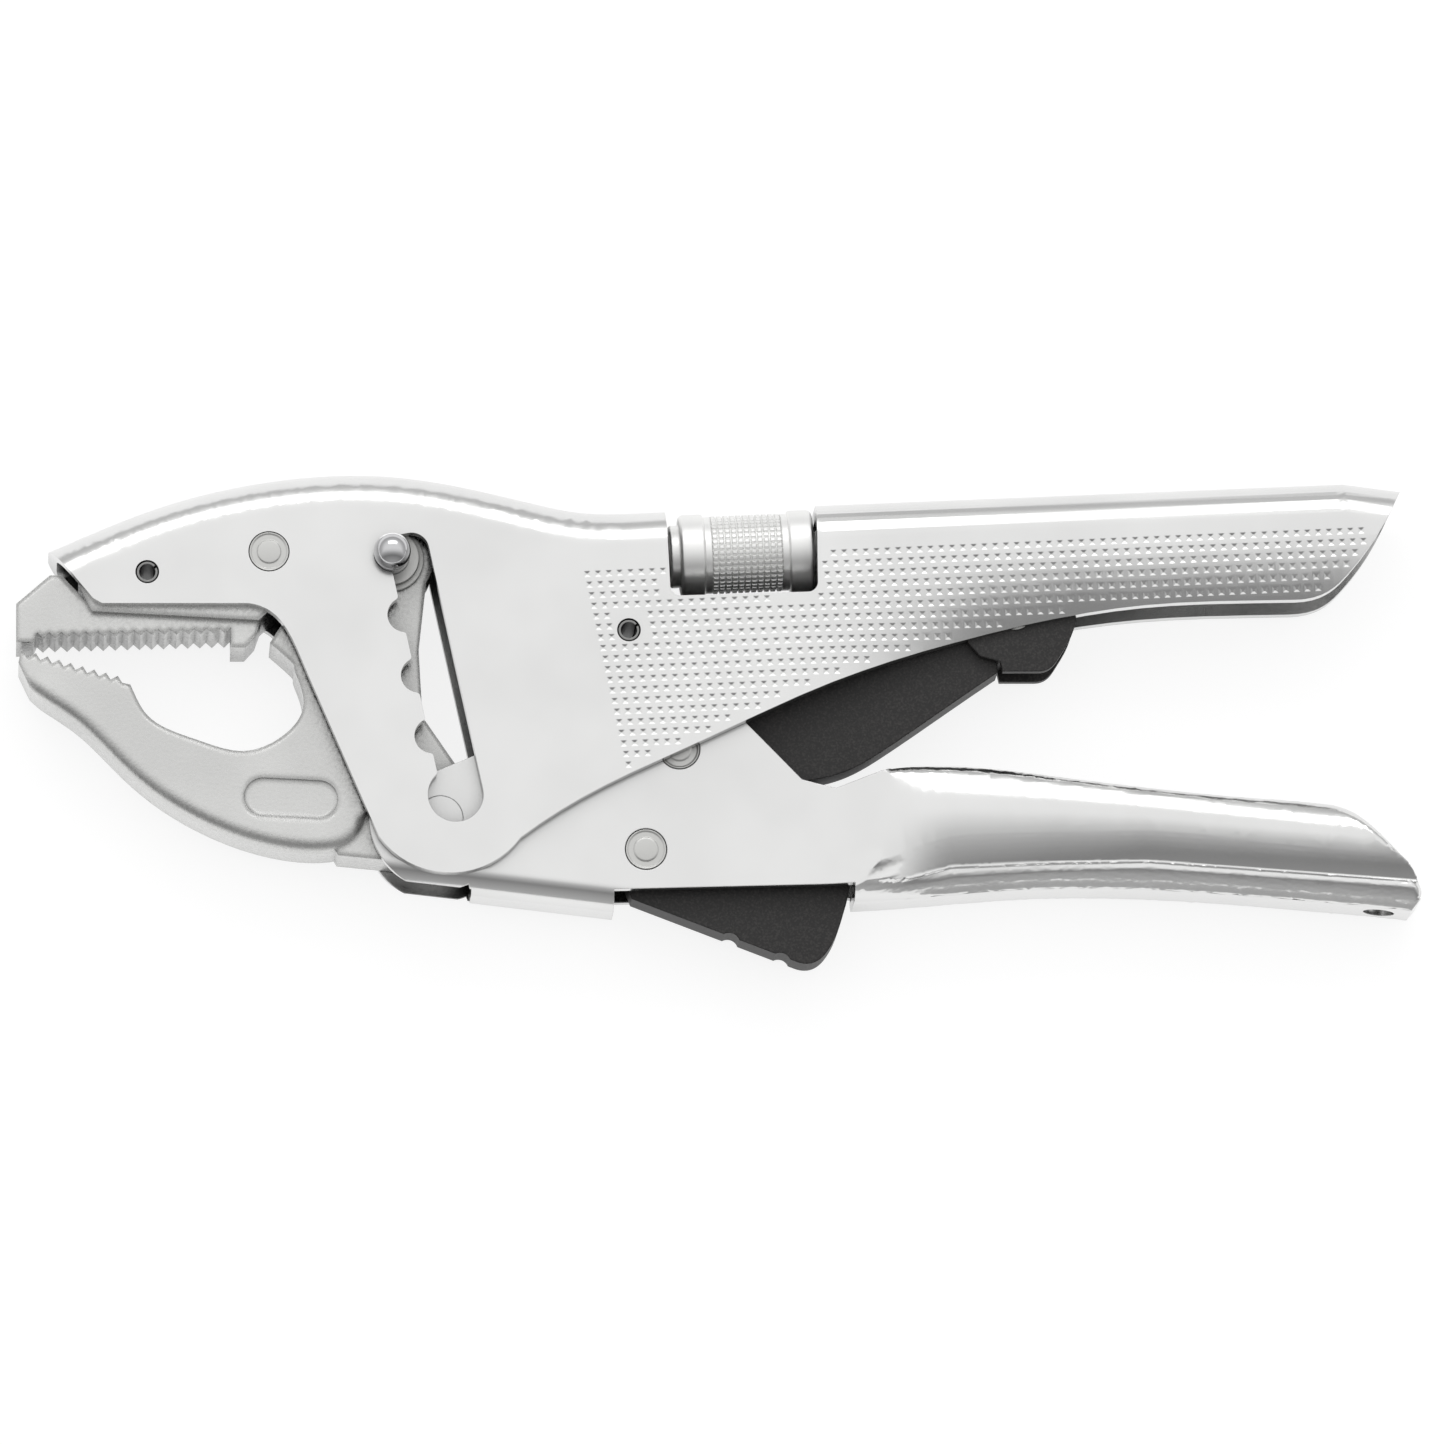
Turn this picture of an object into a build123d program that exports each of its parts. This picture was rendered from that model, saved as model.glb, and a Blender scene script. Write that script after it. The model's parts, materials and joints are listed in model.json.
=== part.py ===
from build123d import *
import os
from math import atan2, cos, degrees, hypot, radians, sin, sqrt, tan

# Locking pliers, lying on one side: jaw tips towards -X, handles towards +X, upper handle towards +Y.
# All outlines are drawn in the mid-plane of the tool, and the assembly is set down on z = 0 at the end.

# Thickness across the tool
body_width = 21.0
body_sheet = 2.5
fold_radius = 7.0
cheek_gap = 0.3
handle_sheet = 2.0
jaw_side_gap = 1.5
spacer_height = 1.8
yoke_sheet = 1.8
yoke_gap = 0.2
grip_inset = 0.3

# Top line of the folded body
top_points = [
    (-118.9, 32.0), (-99.3, 40.1), (-79.8, 44.8), (-59.7, 45.9), (-44.8, 43.8), (-29.9, 40.3), (-17.0, 39.1),
]
rear_top = (112.0, 44.6)
rear_tip = (122.5, 43.2)

# Pivots of the linkage
jaw_pivot = (-58.0, 30.4)
handle_pivot = (-49.6, -16.8)
link_pivot = (-7.1, -4.3)
yoke_pivot = (53.0, 21.0)
trigger_pivot = (-13.2, -22.4)
link_play = 2.3

# Pins and rivets
running_fit = 0.06
jaw_pin_radius = 3.1
ball_radius = 3.3
handle_rivet_radius = 4.0
link_rivet_radius = 3.0
link_rivet_head = 3.7
trigger_rivet_radius = 3.0
trigger_rivet_head = 3.75
yoke_rivet_radius = 3.25
yoke_rivet_proud = 0.25
jaw_rivet_radius = 3.65
jaw_rivet = (-79.8, 30.9)
roll_pin_radius = 2.1
roll_pin_bore = 1.1
roll_pin_slit = 0.5
front_roll_pin = (-101.4, 27.2)
spring_roll_pin = (-16.0, 16.7)

# Notched slot for the jaw pivot pin
notch_count = 5
notch_pitch = 11.2
notch_slant = 12.0
notch_fit = 0.08
notch_depth = 2.6
lane_width = 7.3
tooth_round = 0.7

# Adjusting nut and screw
nut_centre = (4.6, 32.7)
screw_slope = 2.5
nut_radius = 7.4
barrel_step = 0.45
nut_length = 25.6
nut_end_gap = 0.3
collar_length = 4.4
collar_round = 0.9
hub_length = 1.7
hub_radius = 5.6
screw_radius = 4.0
screw_root = 3.4
screw_pitch = 1.5
screw_front = -27.0
screw_seat = 8.0
window_floor = 22.9

# Yoke and link
yoke_front = 44.6
yoke_rear = 64.0
yoke_floor = 10.2
yoke_top = 38.0
link_eye_radius = 9.6
link_end_radius = 8.2

# Jaw and arm
tooth_pitch = 2.15
tooth_height = 1.0
fixed_teeth = 16
moving_teeth = 8
arm_boss_radius = 7.4
heel_radius = 9.4
post = (-43.0, -9.6)
post_radius = 1.5
post_boss = 3.6
jaw_edge_round = 2.4
badge_centre = (-76.0, -12.9)
badge_length = 16.7
badge_width = 6.9
badge_slant = -3.0
badge_depth = 0.5
collar_radius = 4.9
ring_radius = 5.8
ring_height = 0.9

# Heel of the moving jaw, from the end of its arc to the belly
heel_turn = (1.8, 2.9)
heel_run = (5.8, 4.9)

# Handle
nose_radius = 12.6
joggle_start = 17.0
joggle_end = 34.0
joggle_over = 0.7
fold_round = 4.5
grip_round = 6.0
lip_round = 1.5
hang_hole_radius = 2.75
hang_hole_x = 117.6
bead_line = [
    (24.0, -29.0), (31.0, -26.0), (40.9, -22.8), (59.8, -22.0), (75.9, -21.8), (93.4, -23.3), (132.0, -26.4),
]
bead_radius = 3.2
bead_depth = 0.8
grip_top = [(30.5, -8.0), (38.0, -7.3), (61.5, -9.3), (93.6, -12.9), (108.5, -14.2)]
grip_end = [(114.4, -17.0), (119.2, -21.8), (123.4, -26.6), (125.0, -30.6)]
grip_floor = [(123.0, -33.1), (107.7, -31.6), (78.6, -29.4), (53.6, -29.3), (24.3, -31.4)]
fold_low = (0.0, -35.4)
fold_step = 1.6
chin_angle = 293.0
cutout_front = -18.9
cutout_gap = 1.0
cheek_floor = -29.6
shoulder = (10.0, -5.0)

# Release trigger
trigger_reach = 36.8
scallop_radius = 1.9
scallops = [(1.6, -38.6), (10.6, -42.2)]

# Return spring
wire_radius = 0.45
coil_radius = 2.3
coil_pitch = 1.5
coil_turns = 14
coil_start = 5.5
slit_gap = 1.2


def at(point, z=0.0):
    return Pos(point[0], point[1], z)


def toward(point, angle, distance):
    a = radians(angle)
    return (point[0] + distance * cos(a), point[1] + distance * sin(a))


def plate(face, thickness):
    return Pos(0, 0, -thickness / 2) * extrude(face, thickness, dir=(0, 0, 1))


def two_cheeks(face, outer, sheet):
    near = Pos(0, 0, outer - sheet) * extrude(face, sheet, dir=(0, 0, 1))
    return near + mirror(near, about=Plane.XY)


def pin(point, radius, length):
    return at(point) * Cylinder(radius, length)


def drilled(solid, point, radius):
    return solid - pin(point, radius, 3 * body_width)


def disc(point, radius):
    return at(point) * Circle(radius)


def bar(start, end, r_start, r_end):
    return make_hull((disc(start, r_start) + disc(end, r_end)).edges())


def closed(edges):
    return make_face(edges)


def region(points):
    return make_face(Polyline(*points, close=True))


# Half widths that follow from the stack of sheets
body_inner = body_width / 2 - body_sheet
handle_outer = body_inner - cheek_gap
handle_inner = handle_outer - handle_sheet
arm_half = handle_inner - cheek_gap
jaw_half = body_inner - jaw_side_gap
plate_half = handle_inner - spacer_height - 2 * yoke_gap
plate_thickness = 2 * plate_half
yoke_inner = plate_half + yoke_gap
yoke_outer = yoke_inner + yoke_sheet
grip_half = body_width / 2 - grip_inset
eye_radius = roll_pin_radius + cheek_gap + wire_radius
hook_radius = post_radius + cheek_gap + wire_radius


def top_line(drop):
    front = Spline(*[(x, y - drop) for x, y in top_points], tangents=[(0.92, 0.40), (1.0, 0.042)])
    back = Line(front @ 1, (rear_top[0], rear_top[1] - drop))
    end = Line(back @ 1, (rear_tip[0], rear_tip[1] - drop))
    return [front, back, end]


def body_outline():
    top = top_line(0)
    tail = Spline(rear_tip, (118.0, 34.6), (112.6, 27.4), (103.0, 22.8), tangents=[(-0.45, -0.9), (-1, -0.02)])
    belly = Spline(
        (103.0, 22.8), (75.0, 21.7), (48.0, 16.7), (20.7, 7.6), (-5.5, -4.4), (-35.5, -20.8),
        tangents=[(-1, -0.02), (-0.80, -0.60)],
    )
    lobe = ThreePointArc(belly @ 1, (-49.5, -27.1), (-60.6, -20.6))
    front = Line(lobe @ 1, (-73.0, 8.6))
    throat = Spline(front @ 1, (-76.4, 16.3), (-83.5, 21.5), tangents=[(-0.39, 0.92), (-1, 0.12)])
    under = Line(throat @ 1, (-109.4, 21.5))
    nose = Line(under @ 1, (-111.0, 22.4))
    face = Line(nose @ 1, top_points[0])
    return closed(top + [tail, belly, lobe, front, throat, under, nose, face])


def along_top(edge, half):
    middle = edge @ 0.5
    return abs(abs(middle.Z) - half) < 0.01 and abs((edge % 0.5).X) > 0.85


def body_cavity():
    line = top_line(body_sheet)
    start = line[0] @ 0
    end = line[2] @ 1
    lead = Line((start.X - 20.0, start.Y - 8.7), start)
    run = Line(end, (end.X + 20.0, end.Y - 2.7))
    floor = Polyline(run @ 1, (150.0, -60.0), (-150.0, -60.0), lead @ 0)
    core = plate(closed([lead] + line + [run, floor]), 2 * body_inner)
    edges = [e for e in core.edges() if along_top(e, body_inner) and (e @ 0.5).Y > 10]
    return fillet(edges, fold_radius - body_sheet)


def notched_slot():
    """Lane beside a row of round notches, drawn down the row and then turned to its slant."""
    seat = jaw_pin_radius + notch_fit
    left = notch_depth - seat
    right = left + lane_width
    rise = sqrt(seat ** 2 - left ** 2)
    last = -(notch_count - 1) * notch_pitch
    end_radius = (seat + right) / 2
    end_x = end_radius - seat
    end_rise = sqrt(end_radius ** 2 - (end_x - left) ** 2)
    low = (left, -rise)
    edges = [ThreePointArc((0, seat), (-seat, 0), low)]
    for step in range(1, notch_count - 1):
        y = -step * notch_pitch
        edges.append(Line(low, (left, y + rise)))
        low = (left, y - rise)
        edges.append(ThreePointArc((left, y + rise), (-seat, y), low))
    edges.append(Line(low, (left, last + end_rise)))
    edges.append(ThreePointArc((left, last + end_rise), (end_x, last - end_radius), (right, last)))
    edges.append(Line((right, last), (right, 0)))
    edges.append(ThreePointArc((right, 0), toward((right - seat, 0), 45, seat), (right - seat, seat)))
    edges.append(Line((right - seat, seat), (0, seat)))
    shape = closed(edges)
    tips = [v for v in shape.vertices() if abs(v.X - left) < 0.01]
    return at(jaw_pivot) * Rot(0, 0, notch_slant) * fillet(tips, tooth_round)


def nut_window():
    half = nut_length / 2 + nut_end_gap
    left, right = nut_centre[0] - half, nut_centre[0] + half
    face = region([(left - 1.6, 60.0), (left, window_floor), (right, window_floor + 0.8), (right, 60.0)])
    corners = [v for v in face.vertices() if v.Y < 40]
    return plate(fillet(corners, 1.8), 2 * body_width)


def body_shell():
    shell = plate(body_outline(), body_width)
    edges = [e for e in shell.edges() if along_top(e, body_width / 2) and (e @ 0.5).Y > 38.5]
    shell = fillet(edges, fold_radius)
    shell -= body_cavity()
    shell -= plate(notched_slot(), 2 * body_width)
    shell -= nut_window()
    shell = drilled(shell, jaw_rivet, jaw_rivet_radius)
    shell = drilled(shell, front_roll_pin, roll_pin_radius)
    return drilled(shell, spring_roll_pin, roll_pin_radius)


def teeth(start, angle, count, side):
    """Zigzag of saw teeth along a line, with the points on one side."""
    points = []
    for n in range(count):
        root = toward(start, angle, n * tooth_pitch)
        points.append(root)
        points.append(toward(toward(root, angle, tooth_pitch / 2), angle + 90 * side, tooth_height))
    points.append(toward(start, angle, count * tooth_pitch))
    return points


def fixed_jaw():
    row = teeth((-120.9, 17.0), 1.6, fixed_teeth, -1)
    rear = row[-1]
    tip = [(-124.6, 15.3), (-121.6, 15.3)]
    block = [(rear[0], 14.4), (-84.0, 14.4), (-82.2, 16.4), (-81.2, 19.2)]
    head = [(-110.6, 21.0), (-116.6, 27.4), (-118.6, 27.4), (-124.6, 22.2)]
    working = plate(region(tip + row + block + head), 2 * jaw_half)
    tang = [
        (-111.2, 20.6), (-81.6, 19.0), (-74.4, 25.6), (-73.4, 33.6), (-84.0, 34.4), (-101.4, 31.6), (-113.6, 25.6),
    ]
    jaw = working + plate(region(tang), 2 * body_inner)
    jaw = drilled(jaw, jaw_rivet, jaw_rivet_radius)
    return drilled(jaw, front_roll_pin, roll_pin_radius)


def heel_low():
    """Lower end of the heel's arc round the handle's nose, where the belly begins."""
    return toward(handle_pivot, 183, nose_radius + 2 * cheek_gap)


def jaw_working_outline():
    """Toothed front, round mouth and the heel that stops short of the handle's nose."""
    row = teeth((-122.4, 12.6), -15.8, moving_teeth, 1)
    front = Polyline((-119.9, 4.9), (-122.2, 7.2), (-124.2, 11.6), (-123.7, 14.0), *row, (-104.4, 7.6))
    mouth = Spline(
        front @ 1, (-101.6, 2.3), (-92.6, -2.4), (-84.2, -4.4), (-77.2, -1.5), (-73.7, 5.0), (-75.3, 10.4),
        (-79.6, 15.2), tangents=[(0.4, -0.9), (-0.75, 0.66)],
    )
    collar = Polyline(mouth @ 1, (-77.4, 18.6), (-66.0, 22.0), (-58.6, 2.0))
    swing = nose_radius + 2 * cheek_gap
    high = toward(handle_pivot, 128, swing)
    middle = toward(handle_pivot, 155, swing)
    low = heel_low()
    back = Line(collar @ 1, high)
    heel = ThreePointArc(high, middle, low)
    turn = (low[0] - heel_turn[0], low[1] - heel_turn[1])
    corner = ThreePointArc(low, turn, (low[0] - heel_run[0], low[1] - heel_run[1]))
    belly = Spline(
        corner @ 1, (-78.0, -22.0), (-91.9, -17.2), (-104.4, -8.6), (-112.6, -0.4), (-119.9, 4.9),
        tangents=[corner % 1, (-0.75, 0.5)],
    )
    return closed([front, mouth, collar, back, heel, corner, belly])


def along_belly(edge):
    middle = edge @ 0.5
    curved = edge.geom_type != GeomType.LINE and abs((edge % 0.5).Z) < 0.1
    return curved and middle.Y < -10 and middle.X < heel_low()[0] - heel_turn[0] / 2


def lower_jaw():
    working = plate(jaw_working_outline(), 2 * jaw_half)
    edges = [e for e in working.edges() if along_belly(e)]
    working = fillet(edges, jaw_edge_round)
    web = region([
        (-64.6, 30.0), (-51.6, 28.0), (-53.2, 14.0), (-52.6, 2.0), (-45.2, -9.0), (-64.0, -17.5), (-66.0, 2.0),
    ])
    under = [(-66.0, -14.0), (-69.0, -20.8), (-67.7, -23.0), (-56.8, -24.1), (-52.0, -25.4)]
    heel = region(under + [handle_pivot])
    ears = bar(handle_pivot, post, heel_radius - 2.0, post_boss)
    arm = pin(jaw_pivot, arm_boss_radius, 2 * arm_half) + pin(handle_pivot, heel_radius, 2 * arm_half)
    arm += plate(web, 2 * arm_half)
    arm += plate(heel, 2 * arm_half)
    arm += plate(ears, 2 * arm_half)
    slit_start = hook_radius + wire_radius + slit_gap
    slit_end = coil_radius + 3 * wire_radius + slit_gap
    slit = bar(post, spring_roll_pin, slit_start, slit_end)
    arm -= plate(slit, 2 * wire_radius + 2 * slit_gap)
    badge = SlotOverall(badge_length, badge_width, rotation=badge_slant)
    working -= at(badge_centre, jaw_half - badge_depth) * extrude(badge, 2 * badge_depth, dir=(0, 0, 1))
    jaw = working + arm
    jaw = drilled(jaw, jaw_pivot, jaw_pin_radius + running_fit)
    jaw = drilled(jaw, handle_pivot, handle_rivet_radius + running_fit)
    return drilled(jaw, post, post_radius)


def jaw_pivot_pin():
    """Plain pin through both slots, flush at the back, with a ball on a short neck at the front."""
    half = body_width / 2
    shank = Pos(0, 0, 0.3) * Cylinder(jaw_pin_radius, body_width + 0.6)
    ball = Pos(0, 0, half + 2.6) * Sphere(ball_radius)
    return at(jaw_pivot) * (shank + ball)


def pivot_collars():
    """Stepped rings that centre the jaw arm between the body cheeks."""
    height = body_inner - arm_half - cheek_gap
    ring = Cylinder(ring_radius, ring_height, align=(Align.CENTER, Align.CENTER, Align.MIN))
    ring += Cylinder(collar_radius, height, align=(Align.CENTER, Align.CENTER, Align.MIN))
    ring -= Cylinder(jaw_pin_radius, 4 * height)
    near = at(jaw_pivot, arm_half + cheek_gap / 2) * ring
    return near + mirror(near, about=Plane.XY)


def chin():
    return toward(handle_pivot, chin_angle, nose_radius)


def fold_floor():
    """Lower corners of the fold under the cheeks, from the deep end to the front."""
    return [fold_low, (chin()[0] + 0.3 * fold_step, chin()[1] - fold_step)]


def floor_line(rise):
    rear = Spline(*[(x, y + rise) for x, y in grip_floor], tangents=[(-1, 0.12), (-1, -0.06)])
    return [rear, Polyline(rear @ 1, *[(x, y + rise) for x, y in fold_floor()])]


def front_outline():
    """Flat cheeks from the rounded nose back to the joint with the grip."""
    cut = toward(handle_pivot, 163, nose_radius)
    nose = ThreePointArc(chin(), toward(handle_pivot, 228, nose_radius), cut)
    top = Polyline(cut, (-43.8, -5.6), (-17.0, 3.6), (-1.0, 4.4), (4.8, 0.4), shoulder)
    keel = Polyline(shoulder, (shoulder[0], fold_low[1]), *fold_floor(), chin())
    return closed([nose, top, keel])


def grip_outline():
    """Hollow grip from the joint back to its slanted tail."""
    top = Spline(*grip_top, tangents=[(1, 0.2), (1, -0.12)])
    tail = Spline(grip_top[-1], *grip_end, tangents=[(1, -0.12), (0.30, -0.95)])
    floor = Spline(*grip_floor, tangents=[(-1, 0.12), (-1, -0.037)])
    lead = Polyline(grip_top[0], (20.6, -11.4), (14.6, -9.8), shoulder)
    close = Polyline(shoulder, (shoulder[0], grip_floor[-1][1] - 0.6), grip_floor[-1])
    return closed([top, tail, Line(tail @ 1, floor @ 0), floor, close, lead])


def handle_plan(front_half, rear_half, shift):
    """Width of the handle along its length: flat cheeks, a joggle, then the wide grip."""
    start, end = (joggle_start + shift, front_half), (joggle_end + shift, rear_half)
    joggle = Spline(start, end, tangents=[(1, 0), (1, 0)])
    rest = Polyline(end, (150.0, rear_half), (150.0, 0), (-90.0, 0), (-90.0, front_half), start)
    half = Rot(-90, 0, 0) * plate(closed([joggle, rest]), 200.0)
    return half + mirror(half, about=Plane.XY)


def handle_cavity():
    floor = floor_line(handle_sheet)
    rear, front = floor[0] @ 0, floor[1] @ 1
    sky = Polyline(front, (-90.0, front.Y), (-90.0, 60.0), (150.0, 60.0), (150.0, rear.Y), rear)
    hollow = plate(closed(floor + [sky]), 4 * grip_half)
    return hollow & handle_plan(handle_inner, grip_half - handle_sheet, 1.0)


def nose_gap():
    """Open space between the cheeks of the nose, in front of the fold, where the jaw's heel swings."""
    low = [toward(handle_pivot, angle, 1.5 * nose_radius) for angle in (200, 245)]
    edge = fold_floor()[1][0] + 0.05
    high = [(edge, low[1][1]), (edge, handle_pivot[1]), (low[0][0], handle_pivot[1])]
    return plate(region(low + high), 2 * handle_inner)


def bead_groove():
    """Shallow hollows that set off the round bead along the bottom of the grip."""
    path = Spline(*[(x, y, grip_half + bead_radius - bead_depth) for x, y in bead_line])
    tool = sweep(Plane(path @ 0, z_dir=path % 0) * Circle(bead_radius), path=path)
    return tool + mirror(tool, about=Plane.XY)


def along_fold(edge):
    middle = edge @ 0.5
    return abs(abs(middle.Z) - handle_outer) < 0.01 and middle.Y < -30.2 and abs((edge % 0.5).X) > 0.8


def along_grip(edge, ceiling):
    middle = edge @ 0.5
    return abs(abs(middle.Z) - grip_half) < 0.01 and ceiling - 8.0 < middle.Y < ceiling and edge.length > 60


def handle_shell():
    front = plate(front_outline(), 2 * handle_outer)
    front = fillet([e for e in front.edges() if along_fold(e)], fold_round)
    rear = plate(grip_outline(), 2 * grip_half)
    rear = fillet([e for e in rear.edges() if along_grip(e, -27.0)], grip_round)
    rear = fillet([e for e in rear.edges() if along_grip(e, -7.0)], lip_round)
    cavity = handle_cavity()
    rear = (rear - cavity) & handle_plan(handle_outer, grip_half + joggle_over, 0.0)
    shell = (front - (cavity + nose_gap())) + (rear - bead_groove())
    cutout_rear = trigger_pivot[0] + trigger_reach * cos(radians(12)) + cutout_gap
    cut = [
        (cutout_front, cheek_floor), (cutout_rear, cheek_floor + 1.0),
        (cutout_rear, -50.0), (cutout_front, -50.0),
    ]
    shell -= plate(region(cut), 4 * grip_half)
    shell = drilled(shell, handle_pivot, handle_rivet_radius + running_fit)
    for point, radius in ((link_pivot, link_rivet_head), (trigger_pivot, trigger_rivet_head)):
        shell = drilled(shell, point, radius)
    hole = Pos(hang_hole_x, -30.0, 0) * Rot(90, 0, 0) * Cylinder(hang_hole_radius, 16.0)
    return shell - hole


def flush_rivet(point, shank_radius, head_radius, outer, sheet):
    """Rivet whose two flat heads fill the holes of the outer sheets."""
    heads = two_cheeks(disc(point, head_radius), outer, sheet)
    return heads + pin(point, shank_radius, 2 * (outer - sheet) + 0.2)


def spacers(point, bore, radius):
    ring = disc(point, radius) - disc(point, bore)
    return two_cheeks(ring, handle_inner - yoke_gap, spacer_height)


def roll_pin(point, length):
    tube = Cylinder(roll_pin_radius, length) - Cylinder(roll_pin_bore, 2 * length)
    slit = Pos(0, roll_pin_radius, 0) * Box(roll_pin_slit, 2 * roll_pin_radius, 2 * length)
    return at(point) * Rot(0, 0, 150) * (tube - slit)


def toggle_link():
    crown = toward(link_pivot, 112, link_eye_radius)
    keel = toward(link_pivot, 285, link_eye_radius)
    lobe = closed([
        Spline((14.2, -9.4), (23.0, -7.4), (30.0, -3.4), (50.9, 11.0), tangents=[(1, 0.1), (0.83, 0.56)]),
        Polyline((50.9, 11.0), toward(yoke_pivot, 112, link_end_radius), crown),
        Polyline(crown, link_pivot, keel),
        Spline(keel, (4.0, -12.2), (14.2, -9.4), tangents=[(0.97, 0.26), (1, 0.1)]),
    ])
    below = region([(50.0, 5.0), (56.0, 5.0), toward(yoke_pivot, 300, link_end_radius), (50.0, 12.0)])
    face = lobe - below + disc(link_pivot, link_eye_radius) + disc(yoke_pivot, link_end_radius)
    link = plate(face, plate_thickness)
    link = drilled(link, yoke_pivot, yoke_rivet_radius + running_fit)
    return drilled(link, link_pivot, link_rivet_radius + link_play + cheek_gap)


def release_trigger():
    corner = toward(trigger_pivot, -14.5, trigger_reach)
    high = toward(trigger_pivot, 3.0, trigger_reach)
    middle = toward(trigger_pivot, -6.0, trigger_reach)
    toe = toward(trigger_pivot, -28.0, trigger_reach)
    arc = ThreePointArc(high, middle, corner)
    heel = Spline(corner, toe, (17.0, -41.9), (13.4, -41.9), tangents=[(-0.3, -0.95), (-0.93, 0.37)])
    edge = Polyline((13.4, -41.9), (-15.6, -30.6), (-17.0, -27.0))
    top = Polyline((-17.0, -27.0), trigger_pivot, (-10.4, -16.8), (9.0, -15.4), high)
    face = closed([arc, heel, edge, top]) + disc(trigger_pivot, 6.0)
    for point in scallops:
        face -= disc(point, scallop_radius)
    return drilled(plate(face, plate_thickness), trigger_pivot, trigger_rivet_radius + running_fit)


def yoke_outline():
    return closed([
        Polyline((yoke_front, yoke_top), (yoke_front, 15.5), (46.8, 13.0), (50.4, 12.0), (50.8, yoke_floor)),
        Line((50.8, yoke_floor), (57.0, yoke_floor)),
        Spline((57.0, yoke_floor), (61.0, 13.0), (yoke_rear, 20.0), tangents=[(1, 0), (0.1, 1)]),
        Polyline((yoke_rear, 20.0), (yoke_rear, yoke_top), (yoke_front, yoke_top)),
    ])


def screw_axis(x):
    return (x, nut_centre[1] + (x - nut_centre[0]) * tan(radians(screw_slope)))


def on_screw(x):
    point = screw_axis(x)
    return Pos(point[0], point[1], 0) * Rot(0, 0, screw_slope) * Rot(0, 90, 0)


def yoke():
    outline = yoke_outline()
    cheeks = two_cheeks(outline, yoke_outer, yoke_sheet)
    inside = yoke_rear - yoke_sheet
    rear_band = region([(inside, 24.0), (80.0, 24.0), (80.0, yoke_top), (inside, yoke_top)])
    web = plate(outline & rear_band, 2 * yoke_outer)
    block_low = yoke_pivot[1] + link_end_radius + 2 * cheek_gap
    seat_end = yoke_front + screw_seat
    block = region([
        (yoke_front, block_low), (seat_end, block_low), (seat_end, yoke_top), (yoke_front, yoke_top),
    ])
    body = cheeks + web + plate(block, 2 * yoke_outer)
    body -= on_screw(yoke_front) * Cylinder(screw_root, 2 * screw_seat + 6.0)
    return drilled(body, yoke_pivot, yoke_rivet_radius)


def adjusting_screw():
    """Thread drawn as a row of rings, then a plain end seated in the yoke."""
    length = (yoke_front - screw_front) / cos(radians(screw_slope))
    count = int(length / screw_pitch)
    points = [(0, 0), (screw_root, 0)]
    for n in range(count):
        points.append((screw_radius, (n + 0.5) * screw_pitch))
        points.append((screw_root, (n + 1.0) * screw_pitch))
    points.append((screw_root, length + screw_seat))
    points.append((0, length + screw_seat))
    profile = Plane.XZ * region(points)
    return on_screw(screw_front) * revolve(profile, Axis.Z)


def adjusting_nut():
    """Hub, front collar, knurled barrel and rear collar turned on the screw's axis."""
    half = nut_length / 2
    bore = screw_radius + running_fit
    start = -half + hub_length
    barrel = nut_radius - barrel_step
    front, rear = start + collar_length, half - collar_length
    shoulder_in = nut_radius - collar_round
    outline = [
        Polyline((bore, -half), (hub_radius, -half), (hub_radius, start), (shoulder_in, start)),
        RadiusArc((shoulder_in, start), (nut_radius, start + collar_round), -collar_round),
        Polyline((nut_radius, start + collar_round), (nut_radius, front), (barrel, front), (barrel, rear)),
        Polyline((barrel, rear), (nut_radius, rear), (nut_radius, half - collar_round)),
        RadiusArc((nut_radius, half - collar_round), (shoulder_in, half), -collar_round),
        Polyline((shoulder_in, half), (bore, half), (bore, -half)),
    ]
    return on_screw(nut_centre[0]) * revolve(Plane.XZ * closed(outline), Axis.Z)


def spring_frame():
    run = (post[0] - spring_roll_pin[0], post[1] - spring_roll_pin[1])
    return at(spring_roll_pin) * Rot(0, 0, degrees(atan2(run[1], run[0])))


def along_spring(start, end, radius):
    return Pos((start + end) / 2, 0, 0) * Rot(0, 90, 0) * Cylinder(radius, end - start)


def return_spring():
    """Stretched coil with an eye round the roll pin and a second eye round the jaw's post."""
    height = coil_pitch * coil_turns
    coil_end = coil_start + height
    reach = hypot(post[0] - spring_roll_pin[0], post[1] - spring_roll_pin[1])
    helix = Pos(coil_start, 0, 0) * Rot(0, 90, 0) * Helix(coil_pitch, height, coil_radius)
    section = Plane(helix @ 0, z_dir=helix % 0) * Circle(wire_radius)
    coil = sweep(section, path=helix, is_frenet=True)
    cap = 1.5 * wire_radius
    ends = [along_spring(x - cap, x + cap, coil_radius + 2 * wire_radius) for x in (coil_start, coil_end)]
    stems = [
        along_spring(eye_radius, coil_start, wire_radius),
        along_spring(coil_end, reach - hook_radius, wire_radius),
    ]
    eyes = [Torus(eye_radius, wire_radius), Pos(reach, 0, 0) * Torus(hook_radius, wire_radius)]
    spring = coil
    for piece in ends + stems + eyes:
        spring += piece
    return spring_frame() * spring


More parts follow.
